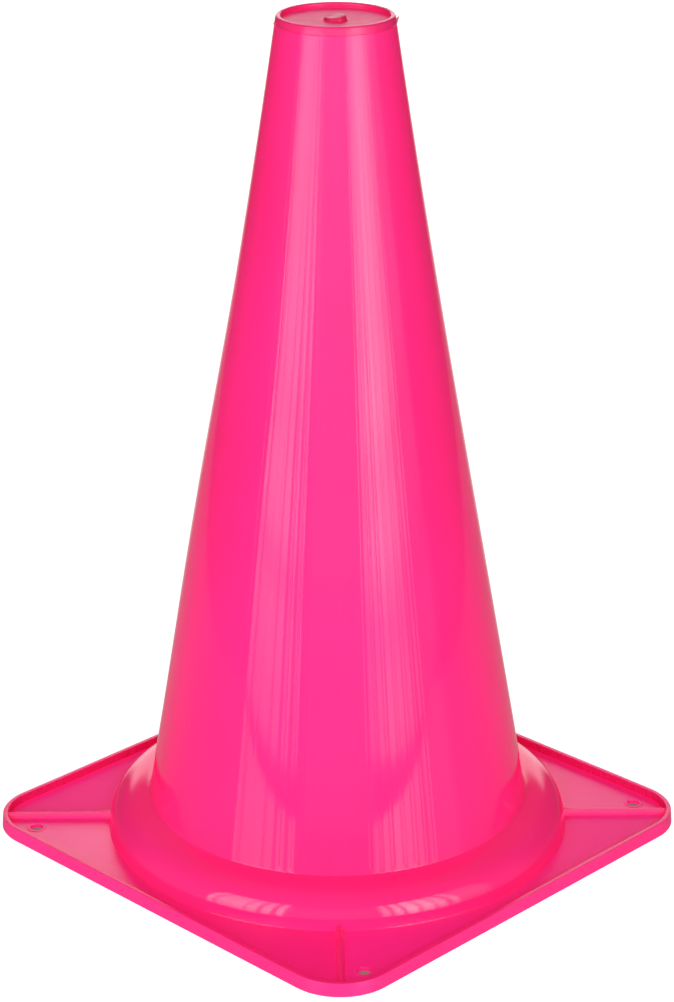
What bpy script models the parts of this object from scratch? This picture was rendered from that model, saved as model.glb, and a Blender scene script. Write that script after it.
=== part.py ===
# Training cone: a hollow moulded cone on a round collar and a square, rimmed base.
# Metres, +Z up, origin on the ground under the cone's axis, base sides along X and Y.
import math

import bmesh
import bpy

# Cone and crown
HEIGHT = 0.380              # ground to the top of the crown ring
CONE_FOOT_RADIUS = 0.0869   # outside of the wall where it stands on the collar
CROWN_RADIUS = 0.0252       # outside of the wall at the very top
WALL_HOLLOW = 0.00095       # how far the outline falls inside a straight taper
CONE_WALL = 0.0018          # thickness, measured level
CROWN_RING_WIDTH = 0.0022   # width of the raised ring round the crown's recess
CROWN_RECESS = 0.0023       # top of the ring down to the end disc
CROWN_EDGE = 0.0005         # softened edges of the ring
DISC_THICKNESS = 0.0020
PARTING_DEPTH = 0.0035      # top of the ring down to the mould's parting line

# Stub left by the injection gate, in the middle of the end disc
STUB_FOOT_RADIUS = 0.0051
STUB_TOP_RADIUS = 0.0042
STUB_HEIGHT = 0.0019
STUB_SLANT = 0.0006         # height lost across the slanting cut

# Collar: the round bulge between cone and base
COLLAR_HEIGHT = 0.0191      # ground to the crease where the cone starts
COLLAR_REACH = 0.0178       # crease out to the collar's flank
COLLAR_WALL = 0.0020
COLLAR_FULLNESS = 2.9       # 2 makes the bulge a quarter of an ellipse, more makes it squarer

# Square base
BASE_MARGIN = 0.0133        # collar's flank to the outside of the rim, across one side
BASE_CORNER_RADIUS = 0.0262
PLATE_THICKNESS = 0.0016
GROUND_CLEARANCE = 0.0009   # ground to the underside of the plate
RIM_HEIGHT = 0.0063
RIM_TOP_WIDTH = 0.0016
RIM_FOOT_WIDTH = 0.0024
RIM_DRAFT = 0.0005          # how far the outer face leans in from foot to top
RIM_EDGE = 0.0004           # softened top edges

# Ribs on the diagonals, from the collar to the rim
RIB_FOOT_WIDTH = 0.0044
RIB_TOP_WIDTH = 0.0017
RIB_EDGE = 0.0004

# Holes for ground pegs, one beside each rib
HOLE_RADIUS = 0.0030
HOLE_FROM_RIM = 0.0143      # along the diagonal, from the rim's inner corner
HOLE_FROM_RIB = 0.0100      # square to the diagonal, on the anticlockwise side
LIP_WIDTH = 0.0012          # raised lip round each hole
LIP_HEIGHT = 0.0004

GAP = 0.0003                # clearance between neighbouring solids
OVERRUN = 0.002             # how far a cutter runs past what it cuts
MERGE_DISTANCE = 0.00001    # points closer than this are one

# Fineness of the round shapes, as counts
WALL_STEPS = 72
SMALL_STEPS = 32
WALL_RINGS = 6
COLLAR_ARC_STEPS = 11
CORNER_STEPS = 8

# Levels and reaches worked out from the sizes above
plate_top = GROUND_CLEARANCE + PLATE_THICKNESS
disc_top = HEIGHT - CROWN_RECESS
parting_level = HEIGHT - PARTING_DEPTH
collar_radius = CONE_FOOT_RADIUS + COLLAR_REACH
base_half = collar_radius + BASE_MARGIN
rim_inner_half = base_half - RIM_FOOT_WIDTH
rim_inner_corner = BASE_CORNER_RADIUS - RIM_FOOT_WIDTH
ring_inner_radius = CROWN_RADIUS - CROWN_RING_WIDTH


def corner_reach(half, radius):
    """Distance from the axis to a rounded square's corner, along its diagonal."""
    return (half - radius) * math.sqrt(2) + radius


def wall_radius(level):
    """Outside radius of the cone's wall: a straight taper, very slightly hollow."""
    climb_share = (level - COLLAR_HEIGHT) / (HEIGHT - COLLAR_HEIGHT)
    straight = CONE_FOOT_RADIUS + (CROWN_RADIUS - CONE_FOOT_RADIUS) * climb_share
    hollow_share = 27 / 4 * climb_share ** 2 * (1 - climb_share)
    return straight - WALL_HOLLOW * hollow_share


def spread(first, last, count):
    """Evenly spaced values from first to last, both included."""
    return [first + (last - first) * i / (count - 1) for i in range(count)]


def arc(centre_x, centre_y, reach_x, reach_y, start, end, count):
    """Points on an ellipse's arc, with the angles in degrees."""
    turns = [math.radians(a) for a in spread(start, end, count)]
    return [(centre_x + reach_x * math.cos(a), centre_y + reach_y * math.sin(a)) for a in turns]


def full_arc(centre_x, centre_y, reach_x, reach_y, start, end, count):
    """Points on a quarter arc that bulges out further than an ellipse's, angles in degrees."""
    points = []
    for turn in spread(start, end, count):
        across = max(0, math.cos(math.radians(turn))) ** (2 / COLLAR_FULLNESS)
        up = max(0, math.sin(math.radians(turn))) ** (2 / COLLAR_FULLNESS)
        points.append((centre_x + reach_x * across, centre_y + reach_y * up))
    return points


def rounded_square(half, radius):
    """Outline of a rounded square round the axis, anticlockwise."""
    middle = half - radius
    points = []
    for quarter, (side_x, side_y) in enumerate(((1, 1), (-1, 1), (-1, -1), (1, -1))):
        start = 90 * quarter
        points += arc(side_x * middle, side_y * middle, radius, radius, start, start + 90, CORNER_STEPS + 1)
    return points


def circle(centre_x, centre_y, radius, count):
    """Outline of a circle, anticlockwise, its last point short of its first."""
    return arc(centre_x, centre_y, radius, radius, 0, 360, count + 1)[:-1]


def moulded_plastic(name, colour, roughness):
    """Principled plastic in the given linear colour."""
    material = bpy.data.materials.new(name)
    material.use_nodes = True
    shader = material.node_tree.nodes["Principled BSDF"]
    shader.inputs["Base Color"].default_value = (*colour, 1)
    shader.inputs["Roughness"].default_value = roughness
    shader.inputs["Metallic"].default_value = 0
    material.diffuse_color = (*colour, 1)
    return material


def add_part(name, data, material):
    """Puts a finished mesh or curve in the object's collection, on the cone's axis."""
    part = bpy.data.objects.new(name, data)
    data.materials.append(material)
    part_collection.objects.link(part)
    part.parent = cone_axis
    return part


def add_guide(name, data):
    """Puts a cutter or a guide in its own collection, hidden from renders."""
    guide = bpy.data.objects.new(name, data)
    guide.hide_render = True
    guide.display_type = "WIRE"
    cutter_collection.objects.link(guide)
    return guide


def turned(name, profile, steps, material):
    """Turns a closed profile, which runs down its outer side and up its inner side."""
    mesh = bpy.data.meshes.new(name)
    count = len(profile)
    edges = [(i, (i + 1) % count) for i in range(count)]
    mesh.from_pydata([(x, 0, z) for x, z in profile], edges, [])
    part = add_part(name, mesh, material)
    screw = part.modifiers.new("Turn", "SCREW")
    screw.axis = "Z"
    screw.steps = steps
    screw.render_steps = steps
    screw.use_merge_vertices = True
    screw.merge_threshold = MERGE_DISTANCE
    screw.use_smooth_shade = True
    return part


def flat_curve(name, outlines, thickness):
    """Closed outlines filled as one flat sheet of the given thickness."""
    curve = bpy.data.curves.new(name, "CURVE")
    curve.dimensions = "2D"
    curve.fill_mode = "BOTH"
    curve.extrude = thickness / 2
    for outline in outlines:
        spline = curve.splines.new("POLY")
        spline.points.add(len(outline) - 1)
        for point, (x, y) in zip(spline.points, outline):
            point.co = (x, y, 0, 1)
        spline.use_cyclic_u = True
    return curve


def welded_mesh(name, curve):
    """Closed mesh of a curve, its loose caps joined to its sides."""
    carrier = bpy.data.objects.new(name, curve)
    cutter_collection.objects.link(carrier)
    seen = carrier.evaluated_get(bpy.context.evaluated_depsgraph_get())
    mesh = bpy.data.meshes.new_from_object(seen)
    bpy.data.objects.remove(carrier)
    work = bmesh.new()
    work.from_mesh(mesh)
    bmesh.ops.remove_doubles(work, verts=work.verts, dist=MERGE_DISTANCE)
    bmesh.ops.recalc_face_normals(work, faces=work.faces)
    work.to_mesh(mesh)
    work.free()
    return mesh


def round_cutter(name, radius, depth, place):
    """Upright cylinder whose middle is at the given place."""
    mesh = bpy.data.meshes.new(name)
    work = bmesh.new()
    bmesh.ops.create_cone(work, cap_ends=True, segments=SMALL_STEPS,
                          radius1=radius, radius2=radius, depth=depth)
    work.to_mesh(mesh)
    work.free()
    cutter = add_guide(name, mesh)
    cutter.location = place
    return cutter


def boolean(part, cutter, operation):
    """Joins or cuts a part with another mesh."""
    change = part.modifiers.new(cutter.name, "BOOLEAN")
    change.operation = operation
    change.solver = "EXACT"
    change.object = cutter


def crown_ring(material):
    """Raised ring round the recess, down to the parting line."""
    outer_top = arc(CROWN_RADIUS - CROWN_EDGE, HEIGHT - CROWN_EDGE, CROWN_EDGE, CROWN_EDGE, 90, 0, 4)
    inner_top = arc(ring_inner_radius + CROWN_EDGE, HEIGHT - CROWN_EDGE, CROWN_EDGE, CROWN_EDGE, 180, 90, 4)
    outer_foot = (wall_radius(parting_level), parting_level)
    inner_foot = (ring_inner_radius, parting_level)
    turned("crown_ring", [*outer_top, outer_foot, inner_foot, *inner_top], WALL_STEPS, material)


def crown_disc(material):
    """End wall of the cone, sunk inside the ring."""
    mesh = bpy.data.meshes.new("crown_disc")
    work = bmesh.new()
    bmesh.ops.create_cone(work, cap_ends=True, segments=WALL_STEPS, radius1=ring_inner_radius - GAP,
                          radius2=ring_inner_radius - GAP, depth=DISC_THICKNESS)
    work.to_mesh(mesh)
    work.free()
    disc = add_part("crown_disc", mesh, material)
    disc.location.z = disc_top - DISC_THICKNESS / 2


def gate_stub(material):
    """Tapered stub on the disc, its top cut off at a slant."""
    mesh = bpy.data.meshes.new("gate_stub")
    work = bmesh.new()
    bmesh.ops.create_cone(work, cap_ends=True, segments=SMALL_STEPS, radius1=STUB_FOOT_RADIUS,
                          radius2=STUB_TOP_RADIUS, depth=STUB_HEIGHT)
    work.to_mesh(mesh)
    work.free()
    stub = add_part("gate_stub", mesh, material)
    stub.location.z = disc_top + GAP + STUB_HEIGHT / 2
    knife_mesh = bpy.data.meshes.new("stub_knife")
    work = bmesh.new()
    bmesh.ops.create_cube(work, size=4 * STUB_FOOT_RADIUS)
    work.to_mesh(knife_mesh)
    work.free()
    knife = add_guide("stub_knife", knife_mesh)
    slant = math.atan2(STUB_SLANT, 2 * STUB_TOP_RADIUS)
    knife_half = 2 * STUB_FOOT_RADIUS
    knife.rotation_euler.x = slant
    knife.location.y = -math.sin(slant) * knife_half
    knife.location.z = disc_top + GAP + STUB_HEIGHT - STUB_SLANT / 2 + math.cos(slant) * knife_half
    boolean(stub, knife, "DIFFERENCE")


def cone_wall(material):
    """Tall tapering wall between the collar and the parting line."""
    foot = COLLAR_HEIGHT + GAP
    levels = spread(parting_level - GAP, foot, WALL_RINGS)
    outer = [(wall_radius(z), z) for z in levels]
    inner = [(wall_radius(z) - CONE_WALL, z) for z in reversed(levels)]
    turned("cone_wall", outer + inner, WALL_STEPS, material)


def collar(material):
    """Hollow round bulge that carries the cone and stands on the plate."""
    foot = plate_top + GAP
    rise = COLLAR_HEIGHT - foot
    outer = full_arc(CONE_FOOT_RADIUS, foot, COLLAR_REACH, rise, 90, 0, COLLAR_ARC_STEPS)
    inner = full_arc(CONE_FOOT_RADIUS, foot, COLLAR_REACH - COLLAR_WALL, rise - COLLAR_WALL, 0, 90, COLLAR_ARC_STEPS)
    seat_edge = CONE_FOOT_RADIUS - CONE_WALL
    seat = [(seat_edge, COLLAR_HEIGHT - COLLAR_WALL), (seat_edge, COLLAR_HEIGHT)]
    turned("collar", outer + inner + seat, WALL_STEPS, material)


def hole_places():
    """Centres of the peg holes, the same in each corner."""
    along = corner_reach(rim_inner_half, rim_inner_corner) - HOLE_FROM_RIM
    places = []
    for quarter in range(4):
        diagonal = math.radians(45 + 90 * quarter)
        x = along * math.cos(diagonal) - HOLE_FROM_RIB * math.sin(diagonal)
        y = along * math.sin(diagonal) + HOLE_FROM_RIB * math.cos(diagonal)
        places.append((x, y))
    return places


def base_plate(material):
    """Thin square plate inside the rim, open under the collar, with four lipped peg holes."""
    outline = rounded_square(rim_inner_half - GAP, rim_inner_corner - GAP)
    opening = circle(0, 0, collar_radius - COLLAR_WALL, WALL_STEPS)
    mesh = welded_mesh("base_plate", flat_curve("plate_outline", [outline, opening], PLATE_THICKNESS))
    plate = add_part("base_plate", mesh, material)
    plate.location.z = plate_top - PLATE_THICKNESS / 2
    lip_depth = PLATE_THICKNESS / 2 + LIP_HEIGHT
    bore_depth = PLATE_THICKNESS + LIP_HEIGHT + 2 * OVERRUN
    for number, (x, y) in enumerate(hole_places()):
        lip = round_cutter(f"hole_lip_{number}", HOLE_RADIUS + LIP_WIDTH, lip_depth,
                           (x, y, plate_top + LIP_HEIGHT - lip_depth / 2))
        boolean(plate, lip, "UNION")
        bore = round_cutter(f"hole_bore_{number}", HOLE_RADIUS, bore_depth, (x, y, plate_top))
        boolean(plate, bore, "DIFFERENCE")


def base_rim(material):
    """Upright rim along the edge of the base, from the ground to above the plate."""
    level = RIM_HEIGHT - RIM_EDGE
    section = [(0, 0),
               *arc(RIM_DRAFT + RIM_EDGE, level, RIM_EDGE, RIM_EDGE, 180, 90, 3),
               *arc(RIM_DRAFT + RIM_TOP_WIDTH - RIM_EDGE, level, RIM_EDGE, RIM_EDGE, 90, 0, 3),
               (RIM_FOOT_WIDTH, 0)]
    section_curve = flat_curve("rim_section", [section], 0)
    section_curve.fill_mode = "NONE"
    section_guide = add_guide("rim_section", section_curve)
    path = flat_curve("base_rim", [rounded_square(base_half, BASE_CORNER_RADIUS)], 0)
    path.fill_mode = "NONE"
    path.bevel_mode = "OBJECT"
    path.bevel_object = section_guide
    add_part("base_rim", path, material)


def corner_ribs(material):
    """Four straight ribs on the diagonals, level with the rim's top."""
    foot = plate_top + GAP
    start = collar_radius + GAP
    end = corner_reach(rim_inner_half, rim_inner_corner) - GAP
    height = RIM_HEIGHT - foot
    section = [(RIB_FOOT_WIDTH / 2, -height / 2),
               *arc(RIB_TOP_WIDTH / 2 - RIB_EDGE, height / 2 - RIB_EDGE, RIB_EDGE, RIB_EDGE, 0, 90, 3),
               *arc(RIB_EDGE - RIB_TOP_WIDTH / 2, height / 2 - RIB_EDGE, RIB_EDGE, RIB_EDGE, 90, 180, 3),
               (-RIB_FOOT_WIDTH / 2, -height / 2)]
    mesh = welded_mesh("corner_rib", flat_curve("rib_section", [section], end - start))
    corner_names = ("back_right", "back_left", "front_left", "front_right")
    for quarter, corner_name in enumerate(corner_names):
        diagonal = math.radians(45 + 90 * quarter)
        rib_mesh = mesh.copy()
        rib = add_part(f"corner_rib_{corner_name}", rib_mesh, material)
        middle = (start + end) / 2
        rib.location = (middle * math.cos(diagonal), middle * math.sin(diagonal), foot + height / 2)
        rib.rotation_euler = (math.pi / 2, 0, diagonal + math.pi / 2)
    bpy.data.meshes.remove(mesh)


for old_object in list(bpy.data.objects):
    bpy.data.objects.remove(old_object, do_unlink=True)

part_collection = bpy.data.collections.new("training_cone")
cutter_collection = bpy.data.collections.new("cutters")
bpy.context.scene.collection.children.link(part_collection)
bpy.context.scene.collection.children.link(cutter_collection)
cone_axis = bpy.data.objects.new("cone_axis", None)
part_collection.objects.link(cone_axis)

crown_ring(moulded_plastic("pink_polyethylene_ring", (1.0, 0.036, 0.214), 0.34))
crown_disc(moulded_plastic("pink_polyethylene_disc", (0.82, 0.045, 0.180), 0.50))
gate_stub(moulded_plastic("pink_polyethylene_stub", (0.86, 0.060, 0.190), 0.45))
cone_wall(moulded_plastic("pink_polyethylene_wall", (1.0, 0.040, 0.260), 0.30))
collar(moulded_plastic("pink_polyethylene_collar", (1.0, 0.036, 0.230), 0.30))
base_plate(moulded_plastic("pink_polyethylene_plate", (0.80, 0.050, 0.170), 0.50))
base_rim(moulded_plastic("pink_polyethylene_rim", (1.0, 0.036, 0.220), 0.36))
corner_ribs(moulded_plastic("pink_polyethylene_ribs", (0.95, 0.032, 0.200), 0.38))
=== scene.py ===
import math

import bmesh
import bpy
from mathutils import Matrix, Vector


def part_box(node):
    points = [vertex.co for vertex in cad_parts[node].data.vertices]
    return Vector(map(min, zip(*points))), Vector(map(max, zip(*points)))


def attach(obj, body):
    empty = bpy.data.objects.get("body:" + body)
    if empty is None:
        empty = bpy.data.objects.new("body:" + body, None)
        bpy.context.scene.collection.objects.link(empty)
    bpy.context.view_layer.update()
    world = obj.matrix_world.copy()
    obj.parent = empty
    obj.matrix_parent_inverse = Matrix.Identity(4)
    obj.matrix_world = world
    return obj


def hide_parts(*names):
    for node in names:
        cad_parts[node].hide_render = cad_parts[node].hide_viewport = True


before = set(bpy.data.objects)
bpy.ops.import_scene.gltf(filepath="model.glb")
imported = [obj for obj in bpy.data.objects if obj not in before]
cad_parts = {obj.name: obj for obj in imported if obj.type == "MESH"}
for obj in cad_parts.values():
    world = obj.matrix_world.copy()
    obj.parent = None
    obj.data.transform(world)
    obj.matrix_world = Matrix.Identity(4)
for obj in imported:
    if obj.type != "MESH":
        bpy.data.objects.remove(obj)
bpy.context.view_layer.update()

low = {name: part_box(name)[0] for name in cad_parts}
high = {name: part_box(name)[1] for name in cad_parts}
cameraTurn = math.radians(44.47)  # from looking along +Y to the photograph's corner view


def linear(hexColour):  # an sRGB hex value as the linear colour that nodes take
    parts = [int(hexColour[i:i + 2], 16) / 255 for i in (0, 2, 4)]
    return tuple(c / 12.92 if c <= 0.04045 else ((c + 0.055) / 1.055) ** 2.4 for c in parts)


def addNode(tree, kind, inputs=(), **settings):
    # inputs go by name or in order, and each is a value, a socket or a node, which gives its first output
    node = tree.nodes.new(kind)
    for key, value in settings.items():
        setattr(node, key, value)
    for key, value in inputs.items() if isinstance(inputs, dict) else enumerate(inputs):
        if isinstance(value, bpy.types.Node):
            value = value.outputs[0]
        if isinstance(value, bpy.types.NodeSocket):
            tree.links.new(value, node.inputs[key])
        else:
            node.inputs[key].default_value = value
    return node


def turnedToStudio(x, y, z):  # from camera-aligned studio directions to the part's frame
    return Matrix.Rotation(cameraTurn, 4, "Z") @ Vector((x, y, z))


def roundedOutline(corners, steps=6):
    # corners are (x, y, radius), and each gives way to an arc that touches both its sides
    points = []
    for i, (x, y, radius) in enumerate(corners):
        here = Vector((x, y))
        if radius == 0:
            points.append((x, y))
            continue
        before = (Vector(corners[i - 1][:2]) - here).normalized()
        after = (Vector(corners[(i + 1) % len(corners)][:2]) - here).normalized()
        halfAngle = before.angle(after) / 2
        reach = radius / math.tan(halfAngle)
        centre = here + (before + after).normalized() * radius / math.sin(halfAngle)
        start = here + before * reach - centre
        sweep = start.angle_signed(here + after * reach - centre)
        for k in range(steps + 1):
            spoke = Matrix.Rotation(-sweep * k / steps, 2) @ start
            points.append(tuple(centre + spoke))
    return points


def fullArc(centreX, centreY, reachX, reachY, start, end, count, fullness=2):
    # an arc of an ellipse, and squarer than that where fullness is above 2
    points = []
    for k in range(count):
        turn = math.radians(start + (end - start) * k / (count - 1))
        reach = (abs(math.cos(turn)) ** fullness + abs(math.sin(turn)) ** fullness) ** (-1 / fullness)
        points.append((centreX + reachX * reach * math.cos(turn), centreY + reachY * reach * math.sin(turn)))
    return points


def finishedPiece(name, mesh, material, sharpAngle=35):
    mesh.name = name
    mesh.materials.clear()
    mesh.materials.append(material)
    mesh.shade_smooth()
    mesh.set_sharp_from_angle(angle=math.radians(sharpAngle))
    piece = bpy.data.objects.new(name, mesh)
    bpy.context.scene.collection.objects.link(piece)
    return piece


def meshFrom(work):
    bmesh.ops.remove_doubles(work, verts=work.verts, dist=1e-7)
    bmesh.ops.recalc_face_normals(work, faces=work.faces)
    mesh = bpy.data.meshes.new("made")
    work.to_mesh(mesh)
    work.free()
    return mesh


def sweptMesh(sections, closed=True):
    # one closed section after another, joined by faces; a sweep that isn't closed gets a face at each end
    work = bmesh.new()
    rows = [[work.verts.new(point) for point in section] for section in sections]
    for row, nextRow in zip(rows, rows[1:] + (rows[:1] if closed else [])):
        for i in range(len(row)):
            j = (i + 1) % len(row)
            work.faces.new((row[i], nextRow[i], nextRow[j], row[j]))
    if not closed:
        work.faces.new(rows[-1])
        work.faces.new(list(reversed(rows[0])))
    return meshFrom(work)


def turnedMesh(profileAt, steps):
    # profileAt gives the closed profile of (radius, level) at an angle, the same count of points each time
    turns = [2 * math.pi * k / steps for k in range(steps)]
    return sweptMesh([[(r * math.cos(t), r * math.sin(t), z) for r, z in profileAt(t)] for t in turns])


def wobble(angle, seed):  # slow unevenness round the axis, from -1 to 1
    return (math.sin(3 * angle + seed) + math.sin(7 * angle + 2.3 * seed) + math.sin(16 * angle + 3.1 * seed)) / 3


plastic = {
    "ior": 1.51,          # low-density polyethylene
    "body": "ff2f90",     # hot pink pigment seen face on
    "deep": "fc2a86",     # where the flow thinned the pigment
    "paintedGlowColour": "ff1030",  # colour of an emission that is partly painted light: it stands for the daylight-fluorescent pigment's glow and also keeps the red up in shade
    "haze": 0.05,         # share of a faint wide bloom round each highlight, as soft plastics have
    "hazeRoughness": 0.30,
    "noiseSpan": (0.3, 0.7),   # noise at which a pattern is wholly absent and wholly there
    "drawRadius": 0.08,        # radius that the draw marks are laid out on, so that they run true up the taper
    "drawStretch": 0.25,       # share of its height at which the pattern climbs, so that the marks are long
}


def sideWarp(tree, coords, slopes):
    # a height in metres that tilts each side of the plate between two ribs by its own small slope
    place = addNode(tree, "ShaderNodeSeparateXYZ", [coords]).outputs
    turn = addNode(tree, "ShaderNodeMath", [place["Y"], place["X"]], operation="ARCTAN2")
    # quarter turns counted from the middle of a rib's quarter, and raised by 4 so that none is negative
    quarter = addNode(tree, "ShaderNodeMath", [turn, 2 / math.pi, 4.5], operation="MULTIPLY_ADD")
    whole = addNode(tree, "ShaderNodeMath", [quarter], operation="FLOOR")
    side = addNode(tree, "ShaderNodeMath", [whole, 4.0], operation="MODULO")
    height = 0.0
    for number, slope in enumerate(slopes):
        chosen = addNode(tree, "ShaderNodeMath", [side, float(number), 0.5], operation="COMPARE")
        rise = addNode(tree, "ShaderNodeVectorMath", [coords, (*slope, 0.0)], operation="DOT_PRODUCT").outputs["Value"]
        height = addNode(tree, "ShaderNodeMath", [chosen, rise, height], operation="MULTIPLY_ADD")
    return height


def mouldedPolyethylene(name, look):
    look = {**plastic, **look}  # what a finish doesn't say, it has from the plastic
    material = bpy.data.materials.new(name)
    material.use_nodes = True
    tree = material.node_tree
    tree.nodes.clear()
    coords = addNode(tree, "ShaderNodeTexCoord").outputs["Object"]
    place = addNode(tree, "ShaderNodeSeparateXYZ", [coords]).outputs
    noise = {}
    for pattern, detail, fineness in (("flow", 2.0, 0.5),      # slow drift of the pigment
                                      ("haze", 4.0, 0.6),      # patches of finer and coarser gloss
                                      ("grain", 3.0, 0.5),     # skin of the mould's steel
                                      ("sway", 1.0, 0.5)):     # sink and warp, long and low
        noise[pattern] = addNode(tree, "ShaderNodeTexNoise", {
            "Vector": coords, "Scale": 1 / look[pattern + "Size"], "Detail": detail,
            "Roughness": fineness})
    least, most = look["noiseSpan"]
    thinned = addNode(tree, "ShaderNodeMapRange", {"Value": noise["flow"], "From Min": least, "From Max": most})
    pigment = addNode(tree, "ShaderNodeMix", {0: thinned, 6: (*linear(look["body"]), 1),
                                              7: (*linear(look["deep"]), 1)}, data_type="RGBA").outputs[2]
    roughness = addNode(tree, "ShaderNodeMapRange", {
        "Value": noise["haze"], "From Min": least, "From Max": most,
        "To Min": look["roughness"][0], "To Max": look["roughness"][1]})
    if "dullTop" in look:             # the polish fades towards the crown
        start, end, added = look["dullTop"]
        dulling = addNode(tree, "ShaderNodeMapRange", {"Value": place["Z"], "From Min": start, "From Max": end,
                                                       "To Max": added})
        roughness = addNode(tree, "ShaderNodeMath", [roughness, dulling], operation="ADD")
    heights = [(noise["sway"], look["swayHeight"]), (noise["grain"], look["grainHeight"])]
    if "drawHeight" in look:          # fine marks up the wall, from drawing it off the mould
        flat = addNode(tree, "ShaderNodeCombineXYZ", {"X": place["X"], "Y": place["Y"]})
        around = addNode(tree, "ShaderNodeVectorMath", [flat], operation="NORMALIZE")
        lift = addNode(tree, "ShaderNodeMath", [place["Z"], look["drawStretch"]], operation="MULTIPLY")
        upright = addNode(tree, "ShaderNodeCombineXYZ", {"Z": lift})
        streaks = addNode(tree, "ShaderNodeVectorMath", {
            0: around, 1: (look["drawRadius"], look["drawRadius"], 0.0), 2: upright},
            operation="MULTIPLY_ADD")
        marks = addNode(tree, "ShaderNodeTexNoise", {"Vector": streaks, "Scale": 1 / look["drawSize"], "Detail": 2.0})
        heights.append((marks, look["drawHeight"]))
    if "sideSlopes" in look:          # the thin plate warped a little as it cooled
        heights.append((sideWarp(tree, coords, look["sideSlopes"]), 1.0))
    normal = {}
    for height, distance in heights:  # each pattern in turn tilts what the ones before it left
        bump = addNode(tree, "ShaderNodeBump", {"Height": height, "Strength": 1.0, "Distance": distance, **normal})
        normal = {"Normal": bump}
    # The emission is painted light in part: each finish sets how strongly it keeps its red up in shade, most on the
    # wall and least on the rim's inside.
    shader = addNode(tree, "ShaderNodeBsdfPrincipled", {
        "Base Color": pigment, "IOR": look["ior"], "Metallic": 0.0, "Roughness": roughness,
        "Specular IOR Level": look["gloss"], "Coat Weight": look["haze"], "Coat Roughness": look["hazeRoughness"],
        "Emission Color": (*linear(look["paintedGlowColour"]), 1), "Emission Strength": look["glow"], **normal})
    addNode(tree, "ShaderNodeOutputMaterial", {"Surface": shader})
    return material


# Polished mould wall: a wet-looking gloss with crisp edges to what it mirrors, duller towards the crown.
glossWall = mouldedPolyethylene("ldpeInjectionMouldedGlossWall", {
    "flowSize": 0.090, "gloss": 0.375, "glow": 0.29,
    "hazeSize": 0.008, "roughness": (0.058, 0.076), "dullTop": (0.25, 0.37, 0.09),
    "grainSize": 0.0011, "grainHeight": 0.0000010,
    "drawSize": 0.0012, "drawHeight": 0.0000022,
    "swaySize": 0.045, "swayHeight": 0.00004})

# The same plastic round the collar, where the polish is a little softer.
glossCollar = mouldedPolyethylene("ldpeInjectionMouldedGlossCollar", {
    "flowSize": 0.070, "gloss": 0.42, "glow": 0.24,
    "hazeSize": 0.008, "roughness": (0.065, 0.085),
    "grainSize": 0.0012, "grainHeight": 0.0000014,
    "swaySize": 0.030, "swayHeight": 0.00003})

# Rim and ribs: milled pockets of the mould, a duller sheen with soft glints on the edges.
sheenEdge = mouldedPolyethylene("ldpeInjectionMouldedSheenRim", {
    "flowSize": 0.050, "gloss": 0.42, "glow": 0.17,
    "hazeSize": 0.008, "roughness": (0.20, 0.27),
    "grainSize": 0.0015, "grainHeight": 0.000002,
    "swaySize": 0.020, "swayHeight": 0.00005})

# The rim's inside: a slightly rougher sheen, its pigment written a deeper crimson with little glow, which is painted
# shade of the slot between rim and plate.
rimInsidePaintedShade = mouldedPolyethylene("ldpeRimInsidePaintedShade", {
    "body": "de2068", "deep": "d81c62", "flowSize": 0.050, "gloss": 0.32, "glow": 0.06,
    "hazeSize": 0.008, "roughness": (0.24, 0.32),
    "grainSize": 0.0015, "grainHeight": 0.000002,
    "swaySize": 0.020, "swayHeight": 0.00005})

# Crown ring: an unpolished insert of the mould, which blurs what it mirrors to a dull shine.
dullRing = mouldedPolyethylene("ldpeInjectionMouldedDullRing", {
    "body": "fb2c80", "deep": "f62876", "flowSize": 0.040, "gloss": 0.34, "glow": 0.14,
    "hazeSize": 0.006, "roughness": (0.19, 0.25),
    "grainSize": 0.0010, "grainHeight": 0.000004,
    "swaySize": 0.015, "swayHeight": 0.00005})

# Plate: spark-eroded mould face, which leaves a satin skin that catches a pale veil of light. Its pigment is written
# paler and bluer than the wall's, painted light that makes up for the weaker light on the plate.
satinFace = mouldedPolyethylene("ldpeInjectionMouldedSatinPlate", {
    "body": "ff2ea2", "deep": "fc2a9a", "flowSize": 0.040, "gloss": 0.5, "glow": 0.21,
    "hazeSize": 0.012, "roughness": (0.30, 0.38),
    "grainSize": 0.0014, "grainHeight": 0.0000012,
    "swaySize": 0.050, "swayHeight": 0.0004,
    "sideSlopes": ((-0.075, 0.075), (0.0, 0.0), (-0.100, 0.100), (0.050, -0.050))})

# End disc: the same eroded skin, rubbed dull by stacking.
dullFace = mouldedPolyethylene("ldpeInjectionMouldedDullDisc", {
    "body": "ff2e94", "deep": "fc2a8a", "flowSize": 0.030, "gloss": 0.40, "glow": 0.18,
    "hazeSize": 0.005, "roughness": (0.38, 0.50),
    "grainSize": 0.0010, "grainHeight": 0.000014,
    "swaySize": 0.020, "swayHeight": 0.0001})

# Gate stub: a clean knife cut through thick plastic, smooth and pale on top. Its pigment is written a deep red with
# little glow, painted shade of the sunk crown it stands in.
stubPaintedShade = mouldedPolyethylene("ldpeGateStubPaintedShade", {
    "body": "e61e68", "deep": "da1a5e", "flowSize": 0.010, "gloss": 0.26, "glow": 0.12,
    "hazeSize": 0.003, "roughness": (0.30, 0.40),
    "grainSize": 0.0010, "grainHeight": 0.000010,
    "swaySize": 0.006, "swayHeight": 0.00008})

print("materials made")

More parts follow.
